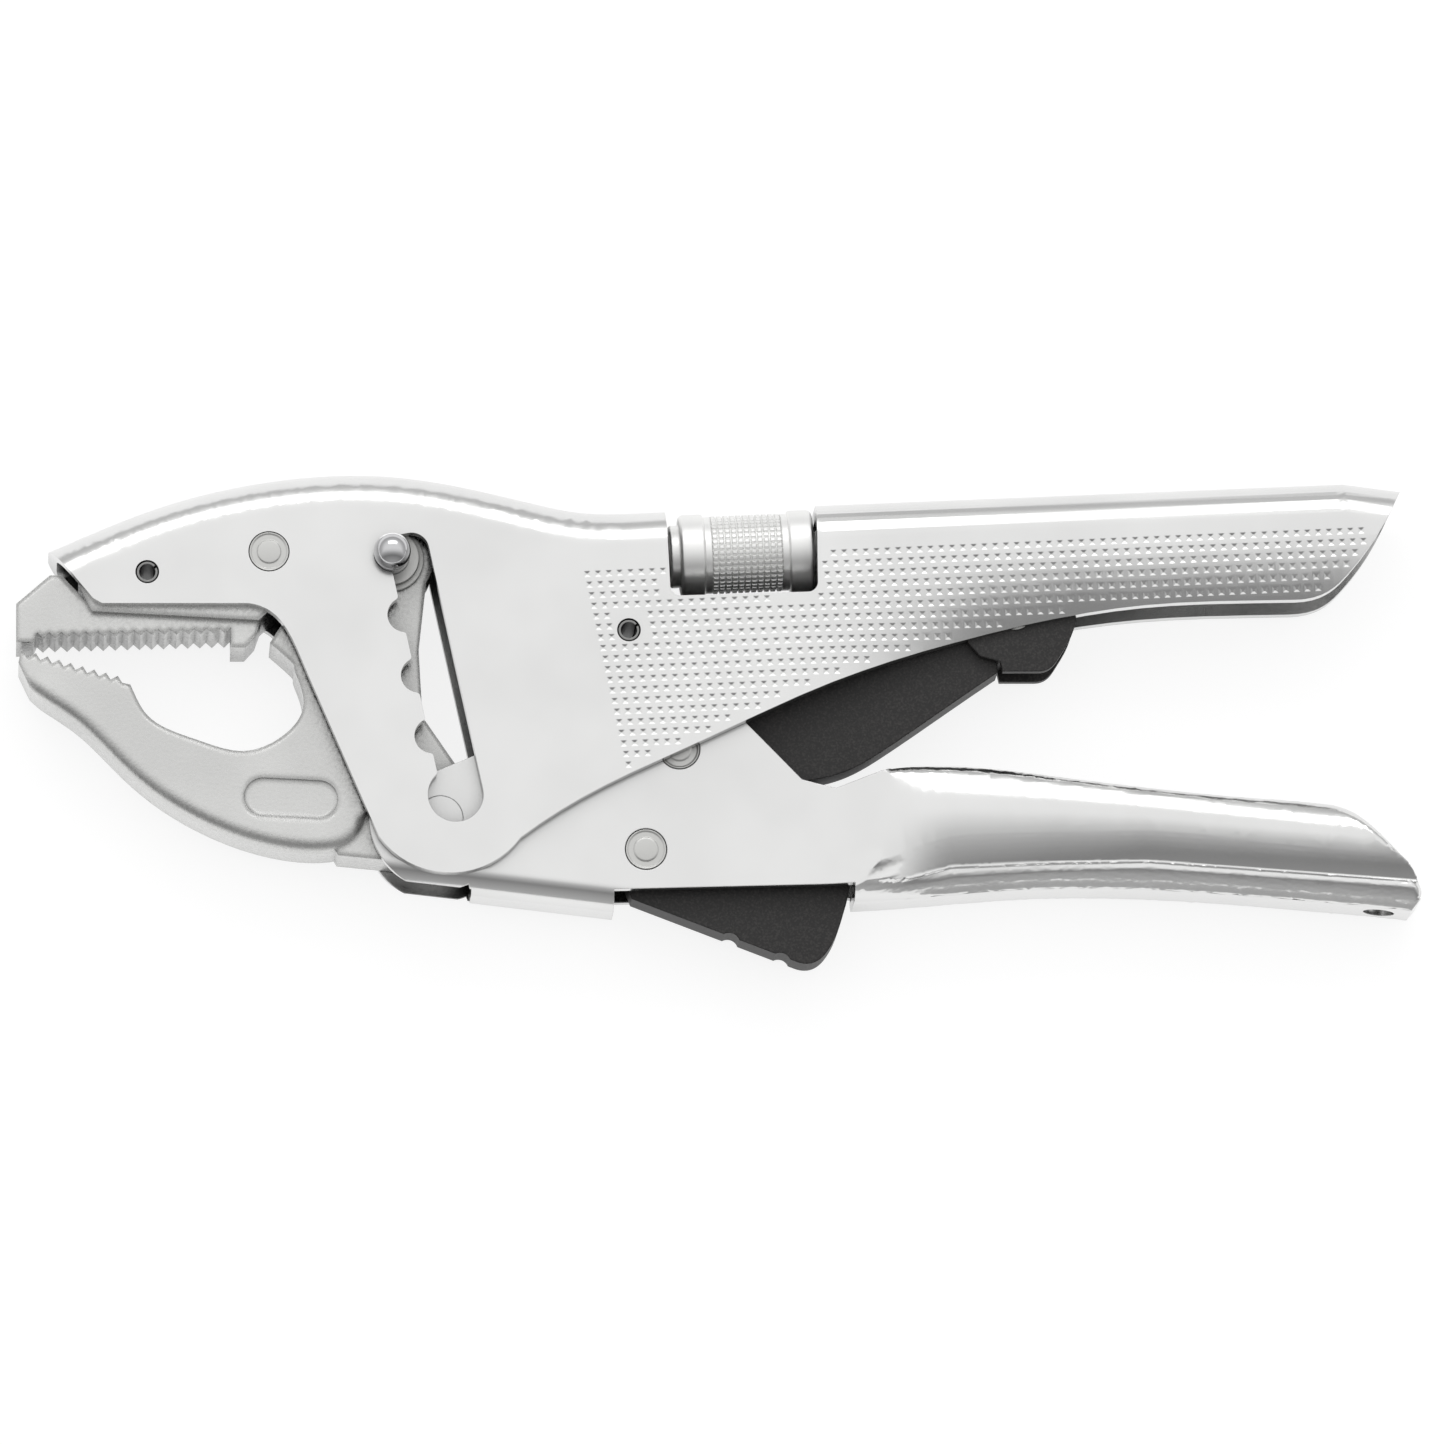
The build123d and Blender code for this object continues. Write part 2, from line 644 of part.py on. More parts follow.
def assembly():
    return {
        "body_shell": body_shell(),
        "fixed_jaw": fixed_jaw(),
        "fixed_jaw_rivet": pin(jaw_rivet, jaw_rivet_radius, body_width),
        "fixed_jaw_roll_pin": roll_pin(front_roll_pin, body_width - 0.4),
        "spring_roll_pin": roll_pin(spring_roll_pin, body_width - 0.4),
        "lower_jaw": lower_jaw(),
        "jaw_pivot_pin": jaw_pivot_pin(),
        "pivot_collars": pivot_collars(),
        "spring_post": pin(post, post_radius, 2 * arm_half),
        "handle_shell": handle_shell(),
        "jaw_handle_rivet": pin(handle_pivot, handle_rivet_radius, 2 * handle_outer),
        "link_rivet": flush_rivet(link_pivot, link_rivet_radius, link_rivet_head, handle_outer, handle_sheet),
        "trigger_rivet": flush_rivet(trigger_pivot, trigger_rivet_radius, trigger_rivet_head, handle_outer,
                                     handle_sheet),
        "link_spacers": spacers(link_pivot, link_rivet_radius, link_eye_radius - 1.0),
        "trigger_spacers": spacers(trigger_pivot, trigger_rivet_radius, 5.4),
        "toggle_link": toggle_link(),
        "release_trigger": release_trigger(),
        "yoke": yoke(),
        "yoke_rivet": pin(yoke_pivot, yoke_rivet_radius, 2 * (yoke_outer + yoke_rivet_proud)),
        "adjusting_screw": adjusting_screw(),
        "adjusting_nut": adjusting_nut(),
        "return_spring": return_spring(),
    }


pieces = assembly()
boxes = [piece.bounding_box() for piece in pieces.values()]
middle_x = (min(b.min.X for b in boxes) + max(b.max.X for b in boxes)) / 2
middle_y = (min(b.min.Y for b in boxes) + max(b.max.Y for b in boxes)) / 2
lowest_z = min(b.min.Z for b in boxes)
set_down = Pos(-middle_x, -middle_y, -lowest_z)

os.makedirs("parts", exist_ok=True)
for name, piece in pieces.items():
    export_step(set_down * piece, f"parts/{name}.step")
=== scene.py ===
# %% [markdown]
# # Locking pliers on a white table
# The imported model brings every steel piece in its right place. This lesson adds what a plain solid
# lacks: pressed dimples, a body and a grip that are rounded for the palm, turned rivet heads, rolled
# pins, a knurled nut, a real coil spring, and a finish for every piece. The table, the light and the
# camera come last.

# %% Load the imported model
import json
import math

import bmesh
import bpy
from mathutils import Matrix, Vector
from mathutils.bvhtree import BVHTree

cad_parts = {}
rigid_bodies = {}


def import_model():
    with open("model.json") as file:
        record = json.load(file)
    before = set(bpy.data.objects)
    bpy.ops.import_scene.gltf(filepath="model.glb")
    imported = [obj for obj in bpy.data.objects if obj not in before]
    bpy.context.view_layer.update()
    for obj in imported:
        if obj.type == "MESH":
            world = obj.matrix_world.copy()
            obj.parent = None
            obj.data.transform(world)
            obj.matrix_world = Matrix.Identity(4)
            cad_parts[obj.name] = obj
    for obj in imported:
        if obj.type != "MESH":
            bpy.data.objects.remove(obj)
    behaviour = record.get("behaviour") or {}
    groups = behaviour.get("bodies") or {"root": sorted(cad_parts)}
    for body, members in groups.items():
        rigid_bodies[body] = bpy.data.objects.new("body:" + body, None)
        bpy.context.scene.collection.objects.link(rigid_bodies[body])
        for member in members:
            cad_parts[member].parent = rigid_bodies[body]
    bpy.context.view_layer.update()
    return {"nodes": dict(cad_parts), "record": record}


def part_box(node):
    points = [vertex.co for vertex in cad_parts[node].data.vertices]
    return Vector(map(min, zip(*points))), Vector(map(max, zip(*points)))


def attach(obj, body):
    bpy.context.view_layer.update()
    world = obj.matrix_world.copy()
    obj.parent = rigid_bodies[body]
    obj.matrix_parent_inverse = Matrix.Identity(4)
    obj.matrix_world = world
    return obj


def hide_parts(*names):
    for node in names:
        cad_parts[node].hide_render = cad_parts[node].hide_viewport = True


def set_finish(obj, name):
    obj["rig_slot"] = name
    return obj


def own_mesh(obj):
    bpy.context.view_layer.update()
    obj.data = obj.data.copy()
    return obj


for leftover in list(bpy.data.objects):
    bpy.data.objects.remove(leftover)

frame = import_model()

# %% [markdown]
# The drawing of the tool is in millimetres about its mid-plane, and the frame is in metres with the
# tool lying on the floor. One rivet is known in both, so it ties them together. Measuring from a
# rivet is safer than typing an offset, because it stays true when the model is packed again.

# %% From the drawing to the frame
MM = 0.001
heel_low, heel_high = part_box("jaw_handle_rivet")
heel_rivet = (Vector(heel_low) + Vector(heel_high)) / 2
heel_in_drawing = Vector((-49.6, -16.8, 0.0))


def spot(x, y, z=0.0):
    return heel_rivet + (Vector((x, y, z)) - heel_in_drawing) * MM


def drawn(place):
    return (place - heel_rivet) / MM + heel_in_drawing


def height_at(line, x):
    for (x0, y0), (x1, y1) in zip(line, line[1:]):
        if x <= x1:
            return y0 + (y1 - y0) * max(0.0, x - x0) / (x1 - x0)
    return line[-1][1]


def ease(t):
    t = min(1.0, max(0.0, t))
    return t * t * (3 - 2 * t)


print("drawing origin is at", [round(v * 1000, 3) for v in spot(0, 0)])

# %% [markdown]
# A finished mesh is turned into an object in one place, so that every new piece gets its finish, its
# body and its smooth shading in the same way. Weighted normals keep a flat cheek flat where it runs
# into a rounded edge; plain smooth shading would smear the edge's tone across the cheek. A copy of a
# packed sheet carries that sheet's own normals, which no longer fit once it is cut, so they are dropped.

# %% Make a piece
def make_piece(name, mesh, body, slot, node, crease=30.0):
    piece = bpy.data.objects.new(name, mesh)
    bpy.context.scene.collection.objects.link(piece)
    if "custom_normal" in mesh.attributes:
        mesh.attributes.remove(mesh.attributes["custom_normal"])
    mesh.polygons.foreach_set("use_smooth", [True] * len(mesh.polygons))
    mesh.set_sharp_from_angle(angle=math.radians(crease))
    weigh = piece.modifiers.new("flat faces stay flat", "WEIGHTED_NORMAL")
    weigh.keep_sharp = True
    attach(piece, body)
    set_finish(piece, slot)
    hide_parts(node)
    print(name, "faces", len(mesh.polygons))
    return piece


def to_mesh(bm, name):
    mesh = bpy.data.meshes.new(name)
    bm.to_mesh(mesh)
    bm.free()
    return mesh


# %% [markdown]
# The body is pressed from sheet, and the rear half of both cheeks carries a grid of small square
# dimples that keep it from slipping in a wet hand. A bump in the material would vanish from the side,
# so the dimples are cut: one cutter mesh holds all the small pyramids, and a Boolean takes it from a
# merged copy of the sheet. The grid stops where a ray finds that the flat cheek stops.

# %% Lay out the dimples
cheek = 10.5
first_dimple = Vector((18.6, 30.6))
along = Vector((1.924, 0.085))
down = Vector((0.39, -1.917))
left_top = Vector((-24.8, 27.1))
left_bottom = Vector((-17.7, -7.8))
dimple_rows, dimple_columns = range(-2, 26), range(-26, 58)
dimple_room = 0.95
weld, sliver, snap = 0.002, 0.0005, 0.01
ray_above = 5.0
flat_within = 0.02
window_end, front_ceiling = 18.0, 27.5
rear_ceiling, rear_origin, rear_rise = 30.9, 18.6, 0.0417


def sheet_copy(node):
    bm = bmesh.new()
    bm.from_mesh(frame["nodes"][node].data)
    bmesh.ops.remove_doubles(bm, verts=bm.verts, dist=weld * MM)
    bmesh.ops.dissolve_degenerate(bm, edges=bm.edges, dist=sliver * MM)
    return bm


def in_field(p):
    left = left_top.x + (left_top.y - p.y) * (left_bottom.x - left_top.x) / (left_top.y - left_bottom.y)
    ceiling = front_ceiling if p.x < window_end else rear_ceiling + rear_rise * (p.x - rear_origin)
    return p.x > left and p.y < ceiling


def on_cheek(tree, p):
    for dx in (-dimple_room, 0.0, dimple_room):
        for dy in (-dimple_room, 0.0, dimple_room):
            hit = tree.ray_cast(spot(p.x + dx, p.y + dy, cheek + ray_above), Vector((0, 0, -1)))[0]
            if hit is None or abs(hit.z - spot(0, 0, cheek).z) > flat_within * MM:
                return False
    return True


body_bm = sheet_copy("body_shell")
body_tree = BVHTree.FromBMesh(body_bm)
open_edges = [e for e in body_bm.edges if not e.is_manifold]
dimples = []
for row in dimple_rows:
    for column in dimple_columns:
        place = first_dimple + along * column + down * row
        if in_field(place) and on_cheek(body_tree, place):
            dimples.append(place)
print("dimples on each cheek", len(dimples), "open edges", len(open_edges))

# %% [markdown]
# On the real sheet a die presses every dimple at one stroke. Here each one is cut by a four-sided cone
# with its narrow end inward. The wide end stands a little proud of the cheek, so that the edge is clean.

# %% Cut the dimples
dimple_half = 0.55
dimple_floor = 0.14
dimple_depth = 0.18
cutter_over = 0.1
spread_over = cutter_over * (dimple_half - dimple_floor) / dimple_depth
corner = math.sqrt(2) * MM
cutter_bm = bmesh.new()
slant = math.atan2(along.y, along.x)
for place in dimples:
    for side in (1, -1):
        middle = cheek + (cutter_over - dimple_depth) / 2
        stand = Matrix.Translation(spot(place.x, place.y, side * middle))
        turn = Matrix.Rotation(slant + math.pi / 4, 4, "Z")
        ends = (dimple_floor * corner, (dimple_half + spread_over) * corner)
        bmesh.ops.create_cone(
            cutter_bm, cap_ends=True, segments=4, radius1=ends[side < 0], radius2=ends[side > 0],
            depth=(dimple_depth + cutter_over) * MM, matrix=stand @ turn,
        )
cutter = bpy.data.objects.new("dimple_cutter", to_mesh(cutter_bm, "dimple_cutter"))
blank = bpy.data.objects.new("sheet_blank", to_mesh(body_bm, "sheet_blank"))
for helper in (cutter, blank):
    bpy.context.scene.collection.objects.link(helper)
cut = blank.modifiers.new("press the dimples", "BOOLEAN")
cut.operation = "DIFFERENCE"
cut.solver = "MANIFOLD"
cut.object = cutter
depsgraph = bpy.context.evaluated_depsgraph_get()
pressed = bpy.data.meshes.new_from_object(blank.evaluated_get(depsgraph))
for helper in (cutter, blank):
    bpy.data.objects.remove(helper)
print("faces after the cut", len(pressed.polygons))

# %% [markdown]
# The same press rounds the rear of the body for the palm. Its cheeks lean in towards their lower edge,
# more and more towards the tail, which is why they look darker there. The cheek is first sliced between
# the rows and columns of dimples, so that it bends evenly. Both skins of the sheet are pushed by the
# same rule, so the sheet keeps its thickness.

# %% Bow the rear cheeks
lower_edge = [(4.4, 2.7), (24.8, 13.0), (42.5, 19.9), (62.9, 24.8), (125.0, 26.8)]
lean_at_edge = 0.34
bow_from, bow_run = 12.0, 40.0
bow_top = 31.5
slice_from, slice_rows, slice_columns = 10.0, range(-1, 12), range(-5, 56)
side_from = 5.0
tail_edge = (100.0, 26.3)


def bow_depth(x, y):
    start = bow_top + rear_rise * (x - rear_origin)
    fall = max(0.0, start - y)
    reach_down = start - height_at(lower_edge, x)
    return lean_at_edge * ease((x - bow_from) / bow_run) * fall * fall / (2 * reach_down)


def slice_sheet(bm, beyond, point, normal):
    limit = spot(beyond, 0.0).x
    faces = [f for f in bm.faces if max(v.co.x for v in f.verts) > limit]
    edges = {e for f in faces for e in f.edges}
    verts = {v for f in faces for v in f.verts}
    bmesh.ops.bisect_plane(
        bm, geom=faces + list(edges) + list(verts), plane_co=point, plane_no=normal, dist=snap * MM,
    )


rear_bm = bmesh.new()
rear_bm.from_mesh(pressed)
for row in slice_rows:
    between = first_dimple + down * (row + 0.5)
    slice_sheet(rear_bm, slice_from, spot(*between), Vector((-along.y, along.x, 0)))
for column in slice_columns:
    between = first_dimple + along * (column + 0.5)
    slice_sheet(rear_bm, slice_from, spot(*between), Vector((-down.y, down.x, 0)))
rear_bm.to_mesh(pressed)
rear_bm.free()
for v in pressed.vertices:
    here = drawn(v.co)
    if here.x > bow_from and abs(here.z) > side_from:
        v.co.z -= math.copysign(bow_depth(here.x, here.y) * MM, here.z)
print("cheek leans in at the tail by mm", round(bow_depth(*tail_edge), 2))
make_piece("pressed_body", pressed, "body", "nickel_plate", "body_shell", crease=20.0)

# %% [markdown]
# The lever is one folded sheet. Behind the cheeks it is pressed into a grip that fills the palm: the
# upper edge is rolled in, the side falls away to a long hollow, and a round bead runs along the
# bottom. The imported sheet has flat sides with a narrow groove, so a merged copy is cut into strips
# along and across the grip, and every corner of the strips is pushed in by a smooth rule. The strips
# must run along the hollow, so the grip is sheared straight before they are cut, and back afterwards.

# %% Press the grip
grip_half = 10.2
grip_top_line = [(22.0, -9.2), (38.0, -7.3), (61.5, -9.3), (93.6, -12.9), (130.0, -16.8)]
hollow_line = [
    (22.0, -31.0), (31.0, -28.2), (40.9, -25.4), (59.8, -24.6), (75.9, -24.4), (93.4, -25.7), (132.0, -28.6),
]
rolled_edge = 2.2
hollow_depth = 2.3
bead_rise = 0.55
crest_at = 0.44
slope_power = 1.7
bead_run = 0.13
grip_start, press_from, press_run = 22.0, 24.0, 16.0
cut_from = 23.0
floor_from, floor_run = 4.0, 4.0
groove_deep, groove_low, groove_high = 0.95, -0.5, 5.5
stations = [grip_start + 2.0 * n for n in range(52)]
below_hollow = [-9.0, -8.0, -7.0, -6.0, -5.0, -4.2]
near_hollow = [-3.6 + 0.3 * n for n in range(16)]
above_hollow = [1.5 + 0.9 * n for n in range(19)]
strips = below_hollow + near_hollow + above_hollow


def press_depth(x, y):
    top, hollow = height_at(grip_top_line, x), height_at(hollow_line, x)
    t = (top - y) / (top - hollow)
    edge = rolled_edge * max(0.0, 1 - max(t, 0.0) / crest_at) ** 2
    slope = hollow_depth * min(1.0, max(0.0, (t - crest_at) / (1 - crest_at))) ** slope_power
    rise = bead_rise * ease((t - 1.0) / bead_run)
    return (edge + slope - rise) * ease((x - press_from) / press_run)


lever_bm = sheet_copy("handle_shell")


def shear_grip(sign):
    for v in lever_bm.verts:
        v.co.y += sign * height_at(hollow_line, max(grip_start, drawn(v.co).x)) * MM


for station in stations:
    slice_sheet(lever_bm, cut_from, spot(station, 0.0), Vector((1, 0, 0)))
shear_grip(-1)
for level in strips:
    slice_sheet(lever_bm, cut_from, spot(0.0, level), Vector((0, 1, 0)))
shear_grip(1)
pushed = 0
for corner_point in lever_bm.verts:
    here = drawn(corner_point.co)
    if here.x < press_from or abs(here.z) < side_from:
        continue
    depth = press_depth(here.x, here.y) * ease((abs(here.z) - floor_from) / floor_run)
    over_hollow = here.y - height_at(hollow_line, here.x)
    if abs(here.z) > grip_half - groove_deep and groove_low < over_hollow < groove_high:
        depth = max(0.0, depth - max(0.0, grip_half - abs(here.z)))
    corner_point.co.z -= math.copysign(depth * MM, here.z)
    pushed += 1
print("corners pushed", pushed)
lever_mesh = to_mesh(lever_bm, "formed_lever")
make_piece("formed_lever", lever_mesh, "lever", "lever_plate", "handle_shell")

# %% [markdown]
# A rivet head on a tool like this is not a plain disc. The press that closes it leaves a fine groove
# against the sheet, a shallow ring, and a slightly raised middle. Each rivet is a profile of a few
# points spun once round its axis, as on a lathe.

# %% Turn the rivets
rivet_neck = 0.97
turned_weld = 0.001
rivet_steps, nut_steps = 64, 96


def lathe(bm, profile, steps):
    chain = [bm.verts.new((r * MM, 0, z * MM)) for r, z in profile]
    edges = [bm.edges.new(pair) for pair in zip(chain, chain[1:])]
    bmesh.ops.spin(
        bm, geom=chain + edges, cent=(0, 0, 0), axis=(0, 0, 1), angle=math.tau, steps=steps, use_merge=True,
    )
    bmesh.ops.remove_doubles(bm, verts=bm.verts, dist=turned_weld * MM)


def rivet_end(radius, top):
    return [
        (0.0, top - 0.02), (0.50 * radius, top - 0.02), (0.55 * radius, top - 0.05),
        (0.60 * radius, top - 0.20), (0.84 * radius, top - 0.20), (0.89 * radius, top - 0.05),
        (0.93 * radius, top - 0.02), (0.955 * radius, top - 0.05), (rivet_neck * radius, top - 0.30),
    ]


def turned_rivet(name, place, radius, top, shank, inner, body, node):
    upper = rivet_end(radius, top) + [(rivet_neck * radius, inner), (shank, inner)]
    profile = upper + [(r, -z) for r, z in reversed(upper)]
    bm = bmesh.new()
    lathe(bm, profile, rivet_steps)
    bmesh.ops.translate(bm, verts=bm.verts, vec=spot(*place))
    bmesh.ops.recalc_face_normals(bm, faces=bm.faces)
    return make_piece(name, to_mesh(bm, name), body, "rivet_steel", node)


turned_rivet("front_rivet_turned", (-79.8, 30.9), 3.65, 10.5, 3.4, 8.0, "body", "fixed_jaw_rivet")
turned_rivet("link_rivet_turned", (-7.1, -4.3), 3.7, 7.7, 3.0, 5.7, "lever", "link_rivet")
turned_rivet("trigger_rivet_turned", (-13.2, -22.4), 3.75, 7.7, 3.0, 5.7, "lever", "trigger_rivet")

# %% [markdown]
# Two roll pins are driven through the body, one to hold the fixed jaw and one for the spring. A roll pin
# is spring steel rolled to a tube with a slit along it, left dark from its heat treatment. The tube's
# wall is spun, and the spin stops short of the full turn to leave the slit.

# %% Roll the pins
pin_outer, pin_inner, pin_half = 2.08, 1.45, 10.3
pin_chamfer, chamfer_length = 0.25, 0.35
rolled_angle, slit_turn, pin_steps = math.radians(345), math.radians(40), 46


def rolled_pin(name, place, body, node):
    bm = bmesh.new()
    end = [
        (pin_inner, -pin_half), (pin_outer - pin_chamfer, -pin_half), (pin_outer, -pin_half + chamfer_length),
    ]
    wall = end + [(r, -z) for r, z in reversed(end)]
    chain = [bm.verts.new((r * MM, 0, z * MM)) for r, z in wall]
    edges = [bm.edges.new(pair) for pair in zip(chain, chain[1:] + chain[:1])]
    bmesh.ops.spin(
        bm, geom=chain + edges, cent=(0, 0, 0), axis=(0, 0, 1), angle=rolled_angle, steps=pin_steps,
    )
    bmesh.ops.holes_fill(bm, edges=[e for e in bm.edges if e.is_boundary], sides=8)
    bmesh.ops.recalc_face_normals(bm, faces=bm.faces)
    bmesh.ops.rotate(bm, verts=bm.verts, cent=(0, 0, 0), matrix=Matrix.Rotation(slit_turn, 3, "Z"))
    bmesh.ops.translate(bm, verts=bm.verts, vec=spot(*place))
    return make_piece(name, to_mesh(bm, name), body, "spring_wire", node)


rolled_pin("front_pin_rolled", (-101.4, 27.2), "body", "fixed_jaw_roll_pin")
rolled_pin("spring_pin_rolled", (-16.0, 16.7), "body", "spring_roll_pin")

# %% [markdown]
# The adjusting nut is turned from bar: a hub, two smooth collars and a barrel with a square knurl for
# the thumb. The turned part is one spun profile. The knurl is a short tube cut into squares, and
# inset_individual raises a small pad on every square, which is what a knurling wheel does.

# %% Turn and knurl the nut
nut_place = (4.6, 32.7)
screw_slope = math.radians(2.5)
collar = 7.4
barrel = 6.95
knurl_root = 6.62
knurl_start, knurl_end = -5.45, 7.15
knurl_columns, knurl_rows = 11, 42
groove_half, pad_slope, pad_rise = 0.1, 0.2, barrel - knurl_root
nut_profile = [
    (4.06, -12.8), (5.35, -12.8), (5.6, -12.55), (5.6, -11.1), (6.5, -11.1), (6.95, -10.98), (7.28, -10.65),
    (collar, -10.2), (collar, -6.95), (7.15, -6.7), (6.85, -6.62), (6.85, knurl_start), (6.45, knurl_start),
    (6.45, knurl_end), (6.85, knurl_end), (6.85, 8.32), (7.15, 8.4), (collar, 8.65), (collar, 11.9),
    (7.28, 12.35), (6.95, 12.68), (6.5, 12.8), (4.06, 12.8), (4.06, -12.8),
]
nut_bm = bmesh.new()
lathe(nut_bm, nut_profile, nut_steps)
bmesh.ops.recalc_face_normals(nut_bm, faces=nut_bm.faces)
knurl_bm = bmesh.new()
knurl_length = knurl_end - knurl_start
bmesh.ops.create_cone(
    knurl_bm, cap_ends=False, segments=knurl_rows, radius1=knurl_root * MM, radius2=knurl_root * MM,
    depth=knurl_length * MM, matrix=Matrix.Translation((0, 0, (knurl_start + knurl_end) / 2 * MM)),
)
for column in range(1, knurl_columns):
    level = (knurl_start + knurl_length * column / knurl_columns) * MM
    tube = knurl_bm.verts[:] + knurl_bm.edges[:] + knurl_bm.faces[:]
    bmesh.ops.bisect_plane(knurl_bm, geom=tube, plane_co=(0, 0, level), plane_no=(0, 0, 1))
squares = knurl_bm.faces[:]
bmesh.ops.inset_individual(knurl_bm, faces=squares, thickness=groove_half * MM, depth=0.0)
bmesh.ops.inset_individual(knurl_bm, faces=squares, thickness=pad_slope * MM, depth=pad_rise * MM)
knurl_mesh = to_mesh(knurl_bm, "knurl")
nut_bm.from_mesh(knurl_mesh)
bpy.data.meshes.remove(knurl_mesh)
stand = Matrix.Translation(spot(*nut_place)) @ Matrix.Rotation(screw_slope, 4, "Z")
bmesh.ops.transform(nut_bm, matrix=stand @ Matrix.Rotation(math.pi / 2, 4, "Y"), verts=nut_bm.verts)
make_piece("knurled_nut", to_mesh(nut_bm, "knurled_nut"), "nut", "nut_steel", "adjusting_nut")

# %% [markdown]
# A return spring pulls the jaw open, from a roll pin in the body to a post on the jaw's arm. It is one
# wire: an eye, a short stem, the coil, a stem and an eye. Spin with a small shift per step winds the
# coil. As the jaw opens the real coil shortens. The eyes are wide enough to stay clear of their pins
# if the piece is squashed along its own axis.

# %% Wind the return spring
roll_pin, jaw_post = Vector((-16.0, 16.7)), Vector((-43.0, -9.6))
wire, coil_radius, coil_pitch, coil_turns = 0.45, 2.3, 1.5, 14
coil_start = 5.5
eye, hook = 3.32, 2.62
steps_per_turn, eye_steps, wire_sides = 28, 36, 10
reach = (jaw_post - roll_pin).length


def wire_ring(bm, centre, turn, cent, axis, angle, steps, shift=(0, 0, 0), merge=False):
    seat = Matrix.Translation(Vector(centre) * MM) @ Matrix.Rotation(turn[0], 4, turn[1])
    ring = bmesh.ops.create_circle(
        bm, cap_ends=False, segments=wire_sides, radius=wire * MM, matrix=seat,
    )["verts"]
    edges = list({e for v in ring for e in v.link_edges})
    bmesh.ops.spin(
        bm, geom=ring + edges, cent=Vector(cent) * MM, axis=axis, dvec=Vector(shift) * MM, angle=angle,
        steps=steps, use_merge=merge,
    )


spring_bm = bmesh.new()
quarter = math.pi / 2
coil_end = coil_start + coil_pitch * coil_turns
wire_ring(
    spring_bm, (coil_radius, 0, coil_start), (quarter, "X"), (0, 0, 0), (0, 0, 1), math.tau * coil_turns,
    steps_per_turn * coil_turns, (0, 0, coil_pitch / steps_per_turn),
)
for level in (coil_start, coil_end):
    wire_ring(
        spring_bm, (coil_radius, 0, level), (quarter, "X"), (coil_radius / 2, 0, level), (0, 0, 1), -math.pi,
        steps_per_turn // 2,
    )
for level, radius in ((0.0, eye), (reach, hook)):
    wire_ring(
        spring_bm, (0, 0, level + radius), (quarter, "X"), (0, 0, level), (1, 0, 0), math.tau, eye_steps,
        merge=True,
    )
for low, high in ((eye, coil_start), (coil_end, reach - hook)):
    bmesh.ops.create_cone(
        spring_bm, cap_ends=True, segments=wire_sides, radius1=wire * MM, radius2=wire * MM,
        depth=(high - low) * MM, matrix=Matrix.Translation((0, 0, (low + high) / 2 * MM)),
    )
bmesh.ops.holes_fill(spring_bm, edges=[e for e in spring_bm.edges if e.is_boundary], sides=12)
bmesh.ops.recalc_face_normals(spring_bm, faces=spring_bm.faces)
pull = Vector((jaw_post.x - roll_pin.x, jaw_post.y - roll_pin.y, 0.0)).normalized()
upward = Vector((0, 0, 1))
across = pull.cross(upward)
lie = Matrix((upward, across, pull)).transposed().to_4x4()
bmesh.ops.transform(spring_bm, matrix=Matrix.Translation(spot(*roll_pin)) @ lie, verts=spring_bm.verts)
spring_mesh = to_mesh(spring_bm, "coil_spring")
coil_spring = make_piece("coil_spring", spring_mesh, "spring", "spring_wire", "return_spring")
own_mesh(coil_spring)
print("spring reach in mm", round(reach, 2))
